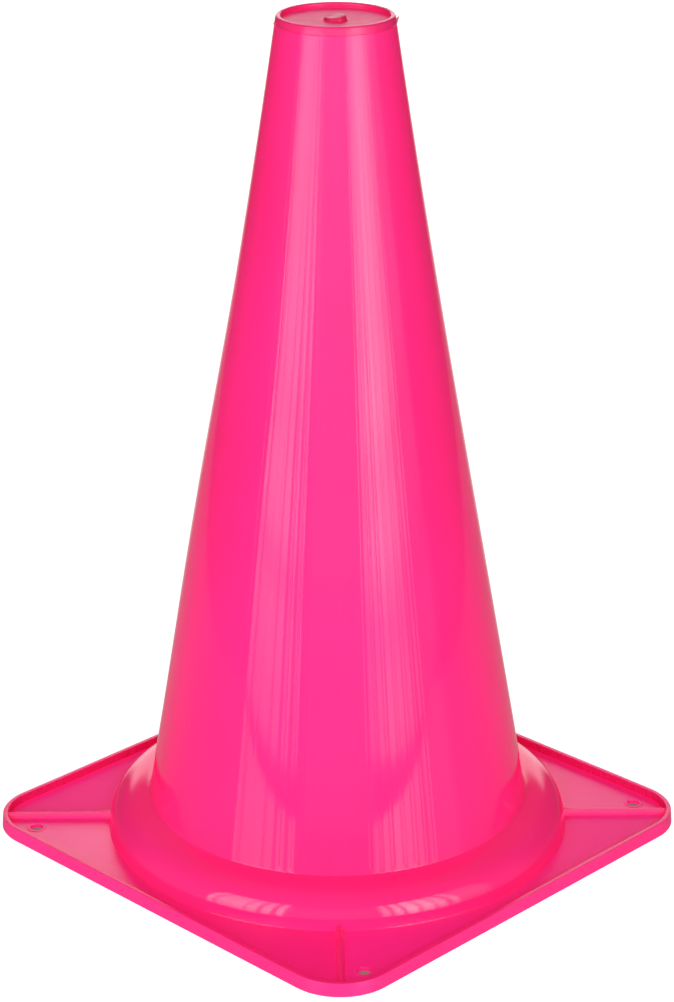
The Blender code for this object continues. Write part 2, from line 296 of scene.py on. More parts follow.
# The cone wall is the main piece. Its shape follows a rule, so Geometry Nodes grow it.
wall = {
    "footRadius": 0.0869,
    "crownRadius": 0.0252,
    "hollow": 0.00125,       # how far the outline falls inside a straight taper
    "fullSide": math.radians(224.5),  # turn round the axis at which the wall is pushed out a little
    "fullness": 0.00105,     # how far, and at which share of its height
    "fullShare": 0.40,
    "fullSpread": 0.31,
    "creaseLevel": 0.0191,
    "crownLevel": 0.3800,
    "low": low["cone_wall"][2],
    "high": high["cone_wall"][2],
    "thickness": 0.0018,
    "rings": 20,
    "stepsAround": 1908,
    "flutes": 106.0,         # draw-polishing marks of the mould, 3.4 degrees apart
    "fluteDepth": 0.000035,
    "fluteHalfWidth": 0.20,  # share of the way to the next one
    "fluteWander": 0.35,
    "wanderPace": 60.0,      # how often round the axis the flutes' spacing and their depth change
    "depthPace": 45.0,
    "plainFrom": 0.47,       # turns from the side opposite the mesh's join, over which the flutes fade out
    "plainTo": 0.499,
    "seed": 4.0,
}
hollowPeak = 27 / 4  # makes share * share * (1 - share) reach 1 at its highest


def wallRadius(level):
    share = (level - wall["creaseLevel"]) / (wall["crownLevel"] - wall["creaseLevel"])
    return (wall["footRadius"] + (wall["crownRadius"] - wall["footRadius"]) * share
            - wall["hollow"] * hollowPeak * share ** 2 * (1 - share))


def wallTree():
    tree = bpy.data.node_groups.new("flutedTaper", "GeometryNodeTree")
    face = tree.interface
    face.new_socket("Geometry", in_out="OUTPUT", socket_type="NodeSocketGeometry")
    for key, value in wall.items():
        kind = "Int" if isinstance(value, int) else "Float"
        face.new_socket(key, in_out="INPUT", socket_type="NodeSocket" + kind)
    face.new_socket("Material", in_out="INPUT", socket_type="NodeSocketMaterial")
    given = addNode(tree, "NodeGroupInput").outputs
    rowCount = addNode(tree, "ShaderNodeMath", [given["rings"], 2.0, 1.0], operation="MULTIPLY_ADD")
    pointCount = addNode(tree, "ShaderNodeMath", [given["stepsAround"], 1.0], operation="ADD")
    grid = addNode(tree, "GeometryNodeMeshGrid", {"Size X": 1.0, "Size Y": 1.0, "Vertices Y": rowCount,
                                                  "Vertices X": pointCount})
    place = addNode(tree, "ShaderNodeSeparateXYZ", [addNode(tree, "GeometryNodeInputPosition")]).outputs

    # every line names a value and gives its operation and terms; a term in quotes is an input or an earlier line
    known = {**dict(given.items()), "gridX": place["X"], "gridY": place["Y"]}
    for name, operation, *terms in (
        # the grid's rows go up outside, down inside and back to the start
        ("around", "ADD", "gridX", 0.5),
        ("rowShare", "ADD", "gridY", 0.5),
        ("allRows", "MULTIPLY", "rings", 2.0),
        ("row", "MULTIPLY", "rowShare", "allRows"),
        ("topRow", "SUBTRACT", "rings", 0.5),
        ("pastTop", "SUBTRACT", "row", "topRow"),
        ("fromTop", "ABSOLUTE", "pastTop"),
        ("climbed", "SUBTRACT", "topRow", "fromTop"),
        ("climbRows", "SUBTRACT", "rings", 1.0),
        ("climbShare", "DIVIDE", "climbed", "climbRows"),
        ("climbFromFoot", "MAXIMUM", "climbShare", 0.0),
        ("climb", "MINIMUM", "climbFromFoot", 1.0),
        ("height", "SUBTRACT", "high", "low"),
        ("level", "MULTIPLY_ADD", "climb", "height", "low"),
        ("insideEnd", "MULTIPLY", "rings", 1.5),
        ("insideMiddle", "SUBTRACT", "insideEnd", 0.5),
        ("pastMiddle", "SUBTRACT", "row", "insideMiddle"),
        ("fromMiddle", "ABSOLUTE", "pastMiddle"),
        ("halfRings", "MULTIPLY", "rings", 0.5),
        ("inside", "LESS_THAN", "fromMiddle", "halfRings"),
        # a straight taper, made hollow
        ("aboveCrease", "SUBTRACT", "level", "creaseLevel"),
        ("taperHeight", "SUBTRACT", "crownLevel", "creaseLevel"),
        ("share", "DIVIDE", "aboveCrease", "taperHeight"),
        ("narrowing", "SUBTRACT", "crownRadius", "footRadius"),
        ("taper", "MULTIPLY_ADD", "share", "narrowing", "footRadius"),
        ("shareSquared", "MULTIPLY", "share", "share"),
        ("hollowRise", "MULTIPLY", "shareSquared", hollowPeak),
        ("shareLeft", "SUBTRACT", 1.0, "share"),
        ("hollowShare", "MULTIPLY", "hollowRise", "shareLeft"),
        ("hollowDepth", "MULTIPLY", "hollow", "hollowShare"),
        ("hollowTaper", "SUBTRACT", "taper", "hollowDepth"),
        # pushed out a little on its full side
        ("angle", "MULTIPLY", "around", 2 * math.pi),
        ("fromFullSide", "SUBTRACT", "angle", "fullSide"),
        ("facing", "COSINE", "fromFullSide"),
        ("nearFull", "MAXIMUM", "facing", 0.0),
        ("nearSquared", "MULTIPLY", "nearFull", "nearFull"),
        ("pastFull", "SUBTRACT", "share", "fullShare"),
        ("fromFull", "DIVIDE", "pastFull", "fullSpread"),
        ("fromSquared", "MULTIPLY", "fromFull", "fromFull"),
        ("arch", "SUBTRACT", 1.0, "fromSquared"),
        ("dome", "MAXIMUM", "arch", 0.0),
        ("domeSquared", "MULTIPLY", "dome", "dome"),
        ("bulge", "MULTIPLY", "nearSquared", "domeSquared"),
        ("pushed", "MULTIPLY", "fullness", "bulge"),
        ("outline", "ADD", "pushed", "hollowTaper"),
        # where the flutes' two noises are read, and how far the mesh's join is
        ("wanderPlace", "MULTIPLY_ADD", "around", "wanderPace", "seed"),
        ("depthSeed", "ADD", "seed", 50.0),
        ("depthPlace", "MULTIPLY_ADD", "around", "depthPace", "depthSeed"),
        ("pastFront", "SUBTRACT", "around", 0.5),
        ("fromFront", "ABSOLUTE", "pastFront"),
    ):
        known[name] = addNode(tree, "ShaderNodeMath", [known.get(t, t) for t in terms], operation=operation)
    for name, spot, detail in (("wander", "wanderPlace", 1.0), ("strength", "depthPlace", 2.0)):
        known[name] = addNode(tree, "ShaderNodeTexNoise", {"W": known[spot], "Scale": 1.0, "Detail": detail},
                              noise_dimensions="1D")
    known["unjoined"] = addNode(tree, "ShaderNodeMapRange", {
        "Value": known["fromFront"], "From Min": given["plainFrom"], "From Max": given["plainTo"],
        "To Min": 1.0, "To Max": 0.0})
    for name, operation, *terms in (
        ("drift", "SUBTRACT", "wander", 0.5),
        ("evenPhase", "MULTIPLY", "around", "flutes"),
        ("phase", "MULTIPLY_ADD", "drift", "fluteWander", "evenPhase"),
        ("phaseShare", "FRACT", "phase"),
        ("pastGroove", "SUBTRACT", "phaseShare", 0.5),
        ("fromGroove", "ABSOLUTE", "pastGroove"),
    ):
        known[name] = addNode(tree, "ShaderNodeMath", [known.get(t, t) for t in terms], operation=operation)
    known["groove"] = addNode(tree, "ShaderNodeMapRange", {
        "Value": known["fromGroove"], "From Min": 0.0, "From Max": given["fluteHalfWidth"], "To Min": 1.0,
        "To Max": 0.0}, interpolation_type="SMOOTHERSTEP")
    for name, operation, *terms in (
        ("unevenGroove", "MULTIPLY", "groove", "strength"),
        ("fadedGroove", "MULTIPLY", "unevenGroove", "unjoined"),
        ("cut", "MULTIPLY", "fadedGroove", "fluteDepth"),
        ("outer", "SUBTRACT", "outline", "cut"),
        ("wallLeft", "SUBTRACT", "thickness", "cut"),
        ("inward", "MULTIPLY", "inside", "wallLeft"),
        ("radius", "SUBTRACT", "outer", "inward"),
        ("cosine", "COSINE", "angle"),
        ("sine", "SINE", "angle"),
        ("x", "MULTIPLY", "radius", "cosine"),
        ("y", "MULTIPLY", "radius", "sine"),
    ):
        known[name] = addNode(tree, "ShaderNodeMath", [known.get(t, t) for t in terms], operation=operation)
    point = addNode(tree, "ShaderNodeCombineXYZ", {"X": known["x"], "Y": known["y"], "Z": known["level"]})
    shaped = addNode(tree, "GeometryNodeSetPosition", {"Geometry": grid.outputs["Mesh"], "Position": point})
    merged = addNode(tree, "GeometryNodeMergeByDistance", {"Geometry": shaped, "Distance": 1e-7})
    real = addNode(tree, "GeometryNodeRealizeInstances", {"Geometry": merged})
    dressed = addNode(tree, "GeometryNodeSetMaterial", {"Geometry": real, "Material": given["Material"]})
    addNode(tree, "NodeGroupOutput", {"Geometry": dressed})
    return tree


def grown(name, tree, inputs, startMesh=None):
    # runs a node tree on its own object and returns the result as a plain mesh
    carrier = bpy.data.objects.new(name + "Carrier", startMesh or bpy.data.meshes.new(name + "Start"))
    bpy.context.scene.collection.objects.link(carrier)
    modifier = carrier.modifiers.new(name, "NODES")
    modifier.node_group = tree
    for socket in tree.interface.items_tree:
        if socket.item_type == "SOCKET" and socket.in_out == "INPUT" and socket.name in inputs:
            modifier[socket.identifier] = inputs[socket.name]
    seen = carrier.evaluated_get(bpy.context.evaluated_depsgraph_get())
    mesh = bpy.data.meshes.new_from_object(seen)
    carrier.modifiers.clear()
    bpy.data.objects.remove(carrier)
    return mesh


wallMesh = grown("coneWall", wallTree(), {**wall, "Material": glossWall})
coneWall = finishedPiece("coneWall", wallMesh, glossWall, 60)
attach(coneWall, "root")
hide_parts("cone_wall")
print("cone wall made,", len(wallMesh.polygons), "faces")

# The collar is the round bulge, with the soft creases above and below it.
collarSizes = {
    "reach": 0.0190,
    "fullness": 2.3,
    "thickness": 0.0020,
    "shoulderSlope": 0.25,    # how steeply the bulge leaves the crease
    "creaseRadius": 0.0006,   # hollow of the crease under the cone
    "footRadius": 0.0007,     # hollow where the collar meets the plate
    "arcSteps": 30,
    "stepsAround": 288,
}
plateTop = high["base_plate"][2] - 0.0004   # the node's top is that of the lips round the peg holes


def collarProfile():
    s = collarSizes
    foot = low["collar"][2]
    rise = wall["creaseLevel"] - foot
    above = wall["creaseLevel"] + 4 * s["creaseRadius"]
    arc = [(r, z - s["shoulderSlope"] * (r - wall["footRadius"]) * (1 - (r - wall["footRadius"]) / s["reach"]) ** 2)
           for r, z in fullArc(wall["footRadius"], foot, s["reach"], rise, 90, 0, s["arcSteps"], s["fullness"])]
    shoulder = roundedOutline([(wallRadius(above), above, 0), (*arc[0], s["creaseRadius"]), (*arc[2], 0)], 6)
    flank = arc[0][0] + s["reach"]
    spread = roundedOutline([(*arc[-6], 0), (flank, plateTop - 0.0001, s["footRadius"]),
                             (flank + 3 * s["footRadius"], plateTop - 0.0001, 0)], 8)
    tuck = (wallRadius(above) - 0.0004, above)
    inner = fullArc(wall["footRadius"], foot, s["reach"] - s["thickness"], rise - s["thickness"], 0, 90,
                    s["arcSteps"], s["fullness"])
    seat = [(wall["footRadius"] - wall["thickness"], wall["creaseLevel"] - s["thickness"]),
            (wall["footRadius"] - wall["thickness"] + 0.0002, wall["creaseLevel"] + 0.0002)]
    underside = [(spread[-2][0], foot - 0.0009), (inner[0][0], foot - 0.0009)]
    return [*shoulder[:-1], *arc[2:-6], *spread[:-1], *underside, *inner, *seat, tuck]


collarOutline = collarProfile()
collarMesh = turnedMesh(lambda angle: collarOutline, collarSizes["stepsAround"])
collar = finishedPiece("collarBulge", collarMesh, glossCollar, 50)
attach(collar, "root")
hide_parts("collar")
print("collar made")

# The crown has a ring, its parting flash, a sunk disc and the gate stub.
crown = {
    "ringWidth": 0.0022,
    "lipRadius": 0.0010,
    "innerLipRadius": 0.0009,
    "ringDip": 0.00004,        # unevenness of the ring's top
    "partingGap": 0.0003,
    "flashReach": 0.00022,     # how far the parting flash stands out, on average
    "flashSpread": 0.00016,
    "flashThickness": 0.00022,
    "burrs": ((-1.4, 0.0008, 0.0010), (1.72, 0.0010, 0.0018)),  # angle from the camera, reach and lift
    "burrSpread": 0.075,
    "stepsAround": 288,
}
ringTop = high["crown_ring"][2]
partingLevel = low["crown_ring"][2]


def ringProfile(angle):
    outer = wall["crownRadius"]
    top = ringTop - crown["ringDip"] * (1 + wobble(angle, 1.2))
    return roundedOutline([
        (outer - crown["ringWidth"], partingLevel - 0.0025, 0),
        (wallRadius(partingLevel) - 0.0003, partingLevel - 0.0025, 0),
        (wallRadius(partingLevel) - 0.0003, partingLevel - crown["partingGap"], 0),
        (wallRadius(partingLevel), partingLevel, 0),
        (outer - 0.00005, top, crown["lipRadius"]),
        (outer - crown["ringWidth"], top, crown["innerLipRadius"])], 7)


crownRing = finishedPiece("crownRing", turnedMesh(ringProfile, crown["stepsAround"]), dullRing, 40)
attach(crownRing, "root")
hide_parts("crown_ring")


def flashProfile(angle):
    reach = crown["flashReach"] + crown["flashSpread"] * wobble(angle, 0.4)
    lift = 0.0
    for place, burrReach, burrLift in crown["burrs"]:
        away = (angle - (cameraTurn - math.pi / 2 + place) + math.pi) % (2 * math.pi) - math.pi
        bell = math.exp(-(away / crown["burrSpread"]) ** 2)
        reach += burrReach * bell
        lift += burrLift * bell
    root = wallRadius(partingLevel)
    half = crown["flashThickness"] / 2
    middle = partingLevel - crown["partingGap"] / 2
    return [(root - 0.0006, middle - half), (root + reach * 0.6, middle - half + lift * 0.35),
            (root + reach, middle + lift), (root + reach * 0.6, middle + half + lift * 0.45),
            (root - 0.0006, middle + half)]


flash = finishedPiece("partingFlash", turnedMesh(flashProfile, 2 * crown["stepsAround"]), sheenEdge, 60)
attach(flash, "root")

disc = {"dish": 0.00015, "flatRadius": 0.012, "edgeHollow": 0.0005, "thickness": 0.0020, "stepsAround": 144}
discTop = high["crown_disc"][2]


def discProfile(angle):
    edge = wall["crownRadius"] - crown["ringWidth"] + 0.0002
    hollow = roundedOutline([(edge, discTop + 0.0020, 0), (edge, discTop, disc["edgeHollow"]),
                             (disc["flatRadius"], discTop, 0)], 6)
    return [(0.0, discTop - disc["dish"]), (0.0, discTop - disc["thickness"]), (edge, discTop - disc["thickness"]),
            (edge, discTop + 0.0006), *hollow[1:-1], (disc["flatRadius"], discTop - 0.00006)]


crownDisc = finishedPiece("crownDisc", turnedMesh(discProfile, disc["stepsAround"]), dullFace, 50)
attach(crownDisc, "root")
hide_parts("crown_disc")

stub = {"footRadius": 0.0049, "topRadius": 0.0043, "hollow": 0.0003, "slant": 0.0013, "ragged": 0.05, "facets": 40}
stubTop = high["gate_stub"][2]


def gateStub():
    rings = [(stub["footRadius"] + stub["hollow"], discTop - 0.0003, 0.0), (stub["footRadius"], discTop + 0.0002, 0.0),
             (stub["topRadius"] + 0.0004, discTop + 0.0009, 0.0), (stub["topRadius"], stubTop - 0.0002, 0.7),
             (stub["topRadius"] - 0.0003, stubTop, 1.0), (0.0012, stubTop, 1.0)]
    sections = []
    for radius, level, cut in rings:
        section = []
        for k in range(stub["facets"]):
            angle = 2 * math.pi * k / stub["facets"]
            ragged = 1 + stub["ragged"] * wobble(angle, 2.0)
            x, y = radius * ragged * math.cos(angle), radius * ragged * math.sin(angle)
            toCamera = Matrix.Rotation(-cameraTurn, 2) @ Vector((x, y))
            drop = cut * stub["slant"] * (0.5 - toCamera.x / (2.5 * stub["topRadius"]))
            section.append((x, y, level - drop))
        sections.append(section)
    return sweptMesh(sections, closed=False)


stubPiece = finishedPiece("gateStub", gateStub(), stubPaintedShade, 30)
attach(stubPiece, "root")
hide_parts("gate_stub")
print("crown made")

# The square base has a plate, peg hole lips, a rim and ribs.
base = {
    "half": 0.1180,
    "cornerRadius": 0.0262,
    "plateThickness": 0.0016,
    "collarOpening": 0.1025,
    "rimHeight": 0.0063,
    "rimTopWidth": 0.0022,
    "rimFootWidth": 0.0024,
    "rimDraft": 0.0005,
    "rimEdge": 0.0005,
    "rimOuterEdge": 0.0003,
    "rimHollow": 0.0004,      # hollow between the rim's inside and the plate
    "rimSag": 0.00008,        # unevenness of the rim's top, and the level above which it shows
    "sagLevel": 0.005,
    "cornerSteps": 20,
    "sideSteps": 36,
    "holeRadius": 0.0030,
    "lipWidth": 0.0012,
    "lipHeight": 0.00025,
    "lipSteps": 64,
    "holeFromRim": 0.0143,
    "holeFromRib": 0.0100,
}


def roundedSquare(half, radius, sideSteps=1):
    middle = half - radius
    points = []
    for quarter, (sideX, sideY) in enumerate(((1, 1), (-1, 1), (-1, -1), (1, -1))):
        corner = fullArc(sideX * middle, sideY * middle, radius, radius, 90 * quarter, 90 * quarter + 90,
                            base["cornerSteps"] + 1)
        points += corner
        endX, endY = corner[-1]
        onward = math.radians(90 * quarter + 180)
        for k in range(1, sideSteps):
            along = 2 * middle * k / sideSteps
            points.append((endX + along * math.cos(onward), endY + along * math.sin(onward)))
    return points


# from the axis to the rim's inside, along a diagonal
cornerReach = (base["half"] - base["cornerRadius"]) * math.sqrt(2) + base["cornerRadius"] - base["rimFootWidth"]


def holePlaces():
    along, aside = cornerReach - base["holeFromRim"], base["holeFromRib"]
    turns = [math.radians(45 + 90 * quarter) for quarter in range(4)]
    return [(along * math.cos(t) - aside * math.sin(t), along * math.sin(t) + aside * math.cos(t)) for t in turns]


def plateMesh():
    curve = bpy.data.curves.new("plateOutline", "CURVE")
    curve.dimensions = "2D"
    curve.fill_mode = "BOTH"
    curve.extrude = base["plateThickness"] / 2
    inset = base["rimFootWidth"] - 0.0004
    outlines = [roundedSquare(base["half"] - inset, base["cornerRadius"] - inset),
                fullArc(0, 0, base["collarOpening"], base["collarOpening"], 0, 358.75, 288)]
    outlines += [fullArc(x, y, base["holeRadius"], base["holeRadius"], 0, 352.5, 48) for x, y in holePlaces()]
    for outline in outlines:
        spline = curve.splines.new("POLY")
        spline.points.add(len(outline) - 1)
        for point, (x, y) in zip(spline.points, outline):
            point.co = (x, y, 0, 1)
        spline.use_cyclic_u = True
    carrier = bpy.data.objects.new("plateCarrier", curve)
    bpy.context.scene.collection.objects.link(carrier)
    mesh = bpy.data.meshes.new_from_object(carrier.evaluated_get(bpy.context.evaluated_depsgraph_get()))
    bpy.data.objects.remove(carrier)
    mesh.transform(Matrix.Translation((0, 0, plateTop - base["plateThickness"] / 2)))
    work = bmesh.new()
    work.from_mesh(mesh)
    return meshFrom(work)


plate = finishedPiece("basePlate", plateMesh(), satinFace, 30)
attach(plate, "root")
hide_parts("base_plate")


def rimMesh():
    b = base
    section = roundedOutline([
        (0, 0, 0.0002),
        (b["rimDraft"], b["rimHeight"], b["rimOuterEdge"]),
        (b["rimDraft"] + b["rimTopWidth"], b["rimHeight"], b["rimEdge"]),
        (b["rimDraft"] + b["rimTopWidth"] + 0.0002, plateTop, 0),
        (b["rimFootWidth"] + b["rimHollow"], plateTop - 0.0002, 0),
        (b["rimFootWidth"] + b["rimHollow"], plateTop - b["plateThickness"] + 0.0002, 0),
        (b["rimFootWidth"], plateTop - b["plateThickness"], 0),
        (b["rimFootWidth"], 0, 0.0002)], 6)
    path = roundedSquare(b["half"], b["cornerRadius"], b["sideSteps"])
    sections = []
    for k, (x, y) in enumerate(path):
        before, after = Vector(path[k - 1]), Vector(path[(k + 1) % len(path)])
        along = (after - before).normalized()
        inward = Vector((-along.y, along.x))
        sag = b["rimSag"] * (wobble(math.atan2(y, x), 5.0) - 1)  # the rim's top isn't quite level
        sections.append([(x + inward.x * u, y + inward.y * u, z + (sag if z > b["sagLevel"] else 0.0))
                         for u, z in section])
    return sweptMesh(sections)


rim = finishedPiece("baseRim", rimMesh(), sheenEdge, 35)
# the rim's inside takes the second material, painted shade
rim.data.materials.append(rimInsidePaintedShade)
for face in rim.data.polygons:
    facesAxis = face.normal.x * face.center.x + face.normal.y * face.center.y < 0
    if facesAxis and face.normal.z < 0.5:  # the rim's inside, up to its rounded edge
        face.material_index = 1
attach(rim, "root")
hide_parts("base_rim")


def repeatedTree(name):
    # copies the start mesh to every quarter turn round the axis
    tree = bpy.data.node_groups.new(name, "GeometryNodeTree")
    face = tree.interface
    face.new_socket("Geometry", in_out="OUTPUT", socket_type="NodeSocketGeometry")
    for socket, kind in (("Geometry", "Geometry"), ("Corners", "Int"), ("First Angle", "Float"),
                         ("Material", "Material")):
        face.new_socket(socket, in_out="INPUT", socket_type="NodeSocket" + kind)
    given = addNode(tree, "NodeGroupInput").outputs
    line = addNode(tree, "GeometryNodeMeshLine", {"Count": given["Corners"], "Offset": (0.0, 0.0, 0.0)})
    step = addNode(tree, "ShaderNodeMath", [2 * math.pi, given["Corners"]], operation="DIVIDE")
    number = addNode(tree, "GeometryNodeInputIndex")
    turn = addNode(tree, "ShaderNodeMath", [number, step, given["First Angle"]], operation="MULTIPLY_ADD")
    rotation = addNode(tree, "ShaderNodeCombineXYZ", {"Z": turn})
    copies = addNode(tree, "GeometryNodeInstanceOnPoints", {"Points": line, "Instance": given["Geometry"],
                                                            "Rotation": rotation})
    real = addNode(tree, "GeometryNodeRealizeInstances", {"Geometry": copies})
    dressed = addNode(tree, "GeometryNodeSetMaterial", {"Geometry": real, "Material": given["Material"]})
    addNode(tree, "NodeGroupOutput", {"Geometry": dressed})
    return tree


cornerTree = repeatedTree("quarterTurns")

rib = {
    "footWidth": 0.0038,
    "topWidth": 0.0012,
    "footHollow": 0.0004,
    "edge": 0.0003,
    "stations": 60,
    "start": 0.1046,
    "lower": 0.0013,          # how far the rib stays under the rim's top
    "bump": 0.0007,           # the rib's end swells up the collar
    "bumpLength": 0.0030,
}
ribEnd = cornerReach + 0.0004


def ribMesh():
    sections = []
    for k in range(rib["stations"] + 1):
        along = rib["start"] + (ribEnd - rib["start"]) * k / rib["stations"]
        swell = rib["bump"] * math.exp(-((along - rib["start"] - 0.001) / rib["bumpLength"]) ** 2)
        top = base["rimHeight"] - rib["lower"] + swell
        section = roundedOutline([
            (-rib["footWidth"] / 2 - rib["footHollow"], plateTop - 0.0004, 0),
            (rib["footWidth"] / 2 + rib["footHollow"], plateTop - 0.0004, 0),
            (rib["footWidth"] / 2 - 0.0002, plateTop + 0.0001, 0),
            (rib["topWidth"] / 2, top, rib["edge"]),
            (-rib["topWidth"] / 2, top, rib["edge"]),
            (-rib["footWidth"] / 2 + 0.0002, plateTop + 0.0001, 0)], 5)
        sections.append([(along, y, z) for y, z in section])
    return sweptMesh(sections, closed=False)


ribs = finishedPiece("cornerRibs", grown("cornerRibs", cornerTree, {
    "Corners": 4, "First Angle": math.pi / 4, "Material": sheenEdge}, ribMesh()), sheenEdge, 40)
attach(ribs, "root")
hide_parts("corner_rib_back_right", "corner_rib_back_left", "corner_rib_front_left", "corner_rib_front_right")


def lipMesh():
    b = base
    section = roundedOutline([
        (b["holeRadius"], plateTop - b["plateThickness"] + 0.0001, 0),
        (b["holeRadius"] + b["lipWidth"] + 0.0005, plateTop - 0.0003, 0),
        (b["holeRadius"] + b["lipWidth"] + 0.0002, plateTop + 0.00005, 0),
        (b["holeRadius"] + b["lipWidth"] - 0.0001, plateTop + b["lipHeight"], 0.0003),
        (b["holeRadius"] - 0.00005, plateTop + b["lipHeight"], 0.0003)], 5)
    mesh = turnedMesh(lambda angle: section, b["lipSteps"])
    mesh.transform(Matrix.Translation((*holePlaces()[0], 0)))
    return mesh


lips = finishedPiece("pegHoleLips", grown("pegHoleLips", cornerTree, {
    "Corners": 4, "First Angle": 0.0, "Material": satinFace}, lipMesh()), satinFace, 40)
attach(lips, "root")
print("base made")

# The studio has a polished white table, a white sheet behind it, two tall soft boxes and three fill lamps.
studio = {
    "floorSize": 30.0,
    "paper": "f0f0f0",
    "seenTop": (0.40, 0.92),   # the table where the camera sees it: its grey, and how white it is by itself
    "paintedShadeUnderBase": (0.30, 0.10),  # the same for the ground under the base, seen down the peg holes: painted shade, grey and dim
    "tableFront": -0.33,       # past this edge nothing is mirrored by a table
    "tableHalfWidth": 0.62,
    "tableTone": (-0.05, 0.12, 0.17, 0.29),  # the polished table top as the cone mirrors it, before and behind the object: light painted on it as a glow of two tones
    "tablePolish": (1.5, 0.08),  # IOR and roughness
    "footprint": (0.117, 0.215),  # ground that the object's base covers: half a side, and x + y at a corner
    "bounce": (0.25, 0.80, 0.45, 0.0),  # light that the table top gives back, and where it fades out round the axis
    # What the gloss mirrors of the room. Each line turns softly from its third number to its fourth as a
    # direction goes from the first to the second: "up", or "away", which is 1 behind the object, -1 behind the camera.
    "fades": {
        "sides": ("away", 0.05, 0.50, 0.25, 0.08),          # beside the object, and further round
        "front": ("up", -0.07, -0.05, 0.33, 0.60),          # behind the camera, under and over the table's edge
        "frontHigh": ("up", 0.0, 0.13, 0.0, 1.0),
        "facing": ("away", -0.90, -0.95, 0.0, 1.0),
        "overTable": ("up", -0.06, -0.02, 0.0, 1.0),
        "overhead": ("up", 0.45, 0.62, 0.0, 1.0),
        "footAcross": ("away", 0.928, 0.960, 0.0, 1.0),     # the sheet's wide foot
        "footFrom": ("up", -0.06, -0.03, 0.0, 1.0),
        "footUpTo": ("up", 0.33, 0.40, 1.0, 0.0),
        "upperAcross": ("away", 0.974, 0.986, 0.0, 1.0),    # its narrow upper part
        "upperFrom": ("up", 0.33, 0.40, 0.0, 1.0),
        "upperUpTo": ("up", 0.49, 0.57, 1.0, 0.0),
    },
    "frontHigh": 0.22,         # the wall behind the camera higher up
    "overhead": 0.17,
    "below": 0.07,
    "sheet": 1.6,
}


def studioDirection(tree, vector):
    turned = addNode(tree, "ShaderNodeVectorRotate", {"Vector": vector, "Angle": -cameraTurn}, rotation_type="Z_AXIS")
    return addNode(tree, "ShaderNodeSeparateXYZ", [turned]).outputs


def makeWorld():
    world = bpy.data.worlds.new("studioRoom")
    bpy.context.scene.world = world
    world.use_nodes = True
    tree = world.node_tree
    tree.nodes.clear()
    direction = studioDirection(tree, addNode(tree, "ShaderNodeTexCoord").outputs["Generated"])
    known = {"up": direction["Z"], "ahead": direction["Y"],
             "isCameraRay": addNode(tree, "ShaderNodeLightPath").outputs["Is Camera Ray"]}
    for name, operation, *terms in (
        ("upSquared", "MULTIPLY", "up", "up"),
        ("flatSquared", "SUBTRACT", 1.0, "upSquared"),
        ("flatOverZero", "MAXIMUM", "flatSquared", 1e-4),
        ("flat", "SQRT", "flatOverZero"),
        ("away", "DIVIDE", "ahead", "flat"),
    ):
        known[name] = addNode(tree, "ShaderNodeMath", [known.get(t, t) for t in terms], operation=operation)
    for name, (along, start, end, before, after) in studio["fades"].items():
        known[name] = addNode(tree, "ShaderNodeMapRange", {
            "Value": known[along], "From Min": start, "From Max": end, "To Min": before, "To Max": after},
            interpolation_type="SMOOTHSTEP")
    for part in ("foot", "upper"):
        tall = addNode(tree, "ShaderNodeMath", [known[part + "UpTo"], known[part + "From"]], operation="MULTIPLY")
        known[part] = addNode(tree, "ShaderNodeMath", [known[part + "Across"], tall], operation="MULTIPLY")
    # each line lays what comes last over what comes before it, by the share that comes first
    for name, share, under, over in (
        ("frontWall", "frontHigh", "front", studio["frontHigh"]),
        ("sideWall", "overTable", studio["below"], "sides"),
        ("walls", "facing", "sideWall", "frontWall"),
        ("emptyRoom", "overhead", "walls", studio["overhead"]),
        ("roomAndFoot", "foot", "emptyRoom", studio["sheet"]),
        ("room", "upper", "roomAndFoot", studio["sheet"]),
        ("strength", "isCameraRay", "room", 1.0),  # the camera sees plain white all round
    ):
        known[name] = addNode(tree, "ShaderNodeMix", {"Factor": known[share], "A": known.get(under, under),
                                                      "B": known.get(over, over)}, data_type="FLOAT")
    lit = addNode(tree, "ShaderNodeBackground", {"Color": (1, 1, 1, 1), "Strength": known["strength"]})
    addNode(tree, "ShaderNodeOutputWorld", {"Surface": lit})


